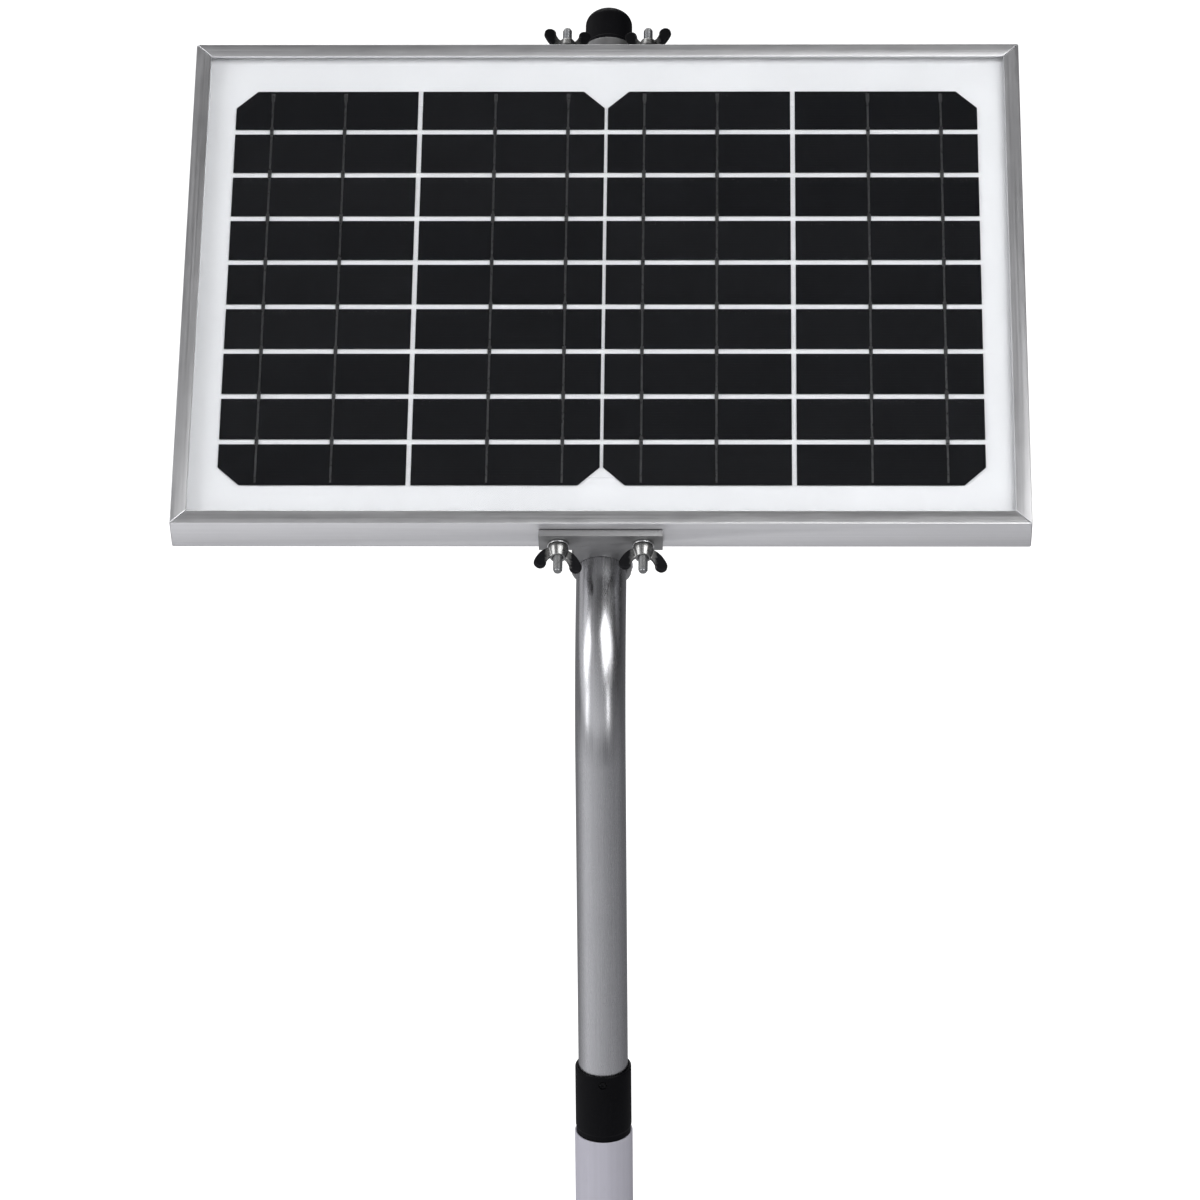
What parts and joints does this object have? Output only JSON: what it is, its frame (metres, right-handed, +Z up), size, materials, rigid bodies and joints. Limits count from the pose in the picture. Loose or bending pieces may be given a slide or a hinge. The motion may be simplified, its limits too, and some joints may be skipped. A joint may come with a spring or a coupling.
{
  "type": "pole-mounted solar panel",
  "caption": "Framed solar panel tilted on a bent aluminium mast that slides and turns in a spiked ground post, held by two sleeved brackets with wing nuts.",
  "frame": {"origin": "on the ground post's axis at soil level, in the plane of the tread's underside", "axes": "+Z up along the post and the upright part of the mast, the panel faces -Y and up, X along the panel's width"},
  "size_m": [0.354, 0.3278, 1.0083],
  "materials": {
    "anodised_aluminium": "satin anodised extrusion",
    "bright_aluminium": "bright drawn tube",
    "satin_aluminium": "matt drawn tube",
    "galvanised_steel": "hot-dip galvanised",
    "zinc_plated_steel": "zinc plated",
    "black_plastic": "fine moulded texture",
    "tempered_glass": "clear, smooth",
    "silicon_cells": "dark blue-black coating with tinned ribbons",
    "tinned_copper": "tinned",
    "white_film": "satin polymer film",
    "silicone_seal": "matt",
    "brass": "turned",
    "black_rubber": "matt"
  },
  "bodies": {
    "post": {"post_tube": "satin_aluminium", "foot_tread": "galvanised_steel", "ground_spike": "galvanised_steel"},
    "collar": {"mast_collar": "black_plastic", "collar_set_screw": "zinc_plated_steel"},
    "mast": {"mast_tube": "bright_aluminium", "mast_cap": "black_plastic"},
    "panel": {"rail_bottom": "anodised_aluminium", "rail_right": "anodised_aluminium", "rail_top": "anodised_aluminium", "rail_left": "anodised_aluminium", "corner_key_bottom_left": "zinc_plated_steel", "corner_key_bottom_right": "zinc_plated_steel", "corner_key_top_right": "zinc_plated_steel", "corner_key_top_left": "zinc_plated_steel", "glass_cover": "tempered_glass", "backsheet": "white_film", "laminate_seal": "silicone_seal", "cell_string_1": "silicon_cells", "cell_string_2": "silicon_cells", "cell_string_3": "silicon_cells", "cell_string_4": "silicon_cells", "bus_ribbon_top_left": "tinned_copper", "bus_ribbon_bottom": "tinned_copper", "bus_ribbon_top_right": "tinned_copper", "junction_box_base": "black_plastic", "junction_box_gasket": "black_rubber", "junction_box_lid": "black_plastic", "terminal_positive": "brass", "terminal_negative": "brass", "blocking_diode": "black_rubber", "gland_body": "black_plastic", "gland_dome_nut": "black_plastic", "gland_lock_nut": "black_plastic", "gland_seal": "black_rubber", "bracket_plate_top": "anodised_aluminium", "mast_sleeve_top": "anodised_aluminium", "sleeve_set_screw_top": "zinc_plated_steel", "bracket_plate_bottom": "anodised_aluminium", "mast_sleeve_bottom": "anodised_aluminium", "sleeve_set_screw_bottom": "zinc_plated_steel", "stud_bolt_top_left": "zinc_plated_steel", "stud_bolt_top_right": "zinc_plated_steel", "stud_bolt_bottom_left": "zinc_plated_steel", "stud_bolt_bottom_right": "zinc_plated_steel", "washer_top_left": "zinc_plated_steel", "washer_top_right": "zinc_plated_steel", "washer_bottom_left": "zinc_plated_steel", "washer_bottom_right": "zinc_plated_steel"},
    "wing_nut_top_left": {"wing_nut_top_left": "zinc_plated_steel"},
    "wing_nut_top_right": {"wing_nut_top_right": "zinc_plated_steel"},
    "wing_nut_bottom_left": {"wing_nut_bottom_left": "zinc_plated_steel"},
    "wing_nut_bottom_right": {"wing_nut_bottom_right": "zinc_plated_steel"}
  },
  "joints": [
    {"name": "mast_swivel", "type": "hinge", "parent": "post", "child": "collar", "pos_m": [0, 0, 0.42], "axis": [0, 0, 1], "continuous": true},
    {"name": "mast_height", "type": "slide", "parent": "collar", "child": "mast", "axis": [0, 0, 1], "range_m": [-0.13, 0.1]},
    {"name": "panel_swivel", "type": "hinge", "parent": "mast", "child": "panel", "pos_m": [0, 0.16034, 0.70851], "axis": [0, 0.866, 0.5], "continuous": true},
    {"name": "wing_nut_top_left_turn", "type": "hinge", "parent": "panel", "child": "wing_nut_top_left", "pos_m": [-0.0175, 0.25957, 0.78763], "axis": [0, 0.866, 0.5], "continuous": true},
    {"name": "wing_nut_top_right_turn", "type": "hinge", "parent": "panel", "child": "wing_nut_top_right", "pos_m": [0.0175, 0.25957, 0.78763], "axis": [0, 0.866, 0.5], "continuous": true},
    {"name": "wing_nut_bottom_left_turn", "type": "hinge", "parent": "panel", "child": "wing_nut_bottom_left", "pos_m": [-0.0175, 0.0422, 0.66213], "axis": [0, -0.866, -0.5], "continuous": true},
    {"name": "wing_nut_bottom_right_turn", "type": "hinge", "parent": "panel", "child": "wing_nut_bottom_right", "pos_m": [0.0175, 0.0422, 0.66213], "axis": [0, -0.866, -0.5], "continuous": true}
  ]
}
